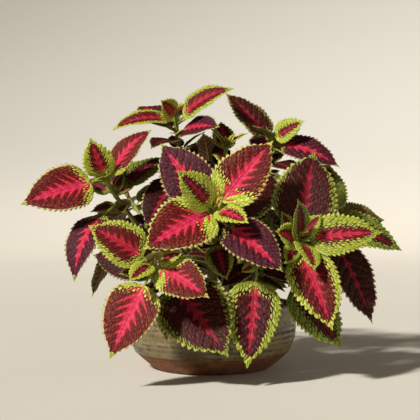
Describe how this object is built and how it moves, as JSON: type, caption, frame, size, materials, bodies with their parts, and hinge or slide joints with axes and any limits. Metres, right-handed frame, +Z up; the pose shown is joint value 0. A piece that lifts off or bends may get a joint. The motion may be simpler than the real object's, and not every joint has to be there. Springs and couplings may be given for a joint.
{
  "type": "potted coleus plant",
  "caption": "Bushy variegated coleus with toothed pink, maroon and lime leaves on square stems, growing in a low round stoneware bowl filled with soil.",
  "frame": {"origin": "centre of the bowl's flat base, on the surface it stands on", "axes": "+Z up; -Y towards the side shown in the picture, which most of the large leaves face; +X to the right as seen from that side, along the plant's widest spread"},
  "size_m": [0.3712, 0.3323, 0.2823],
  "materials": {
    "stoneware": "beige mottled glaze over a plain brown clay foot",
    "potting_soil": "dark crumbly soil",
    "coleus_leaf": "maroon leaf with a pink flame, lime teeth and quilted veins"
  },
  "bodies": {
    "root": {"bowl": "stoneware", "soil": "potting_soil", "shoot_front": "coleus_leaf", "shoot_lower_left": "coleus_leaf", "shoot_right": "coleus_leaf", "shoot_left": "coleus_leaf", "shoot_top_left": "coleus_leaf", "shoot_top_right": "coleus_leaf", "shoot_low_front": "coleus_leaf", "shoot_low_right": "coleus_leaf", "shoot_crown": "coleus_leaf", "shoot_right_back": "coleus_leaf", "shoot_back_right": "coleus_leaf", "shoot_back": "coleus_leaf", "shoot_back_left": "coleus_leaf", "shoot_low_back": "coleus_leaf"}
  },
  "joints": []
}
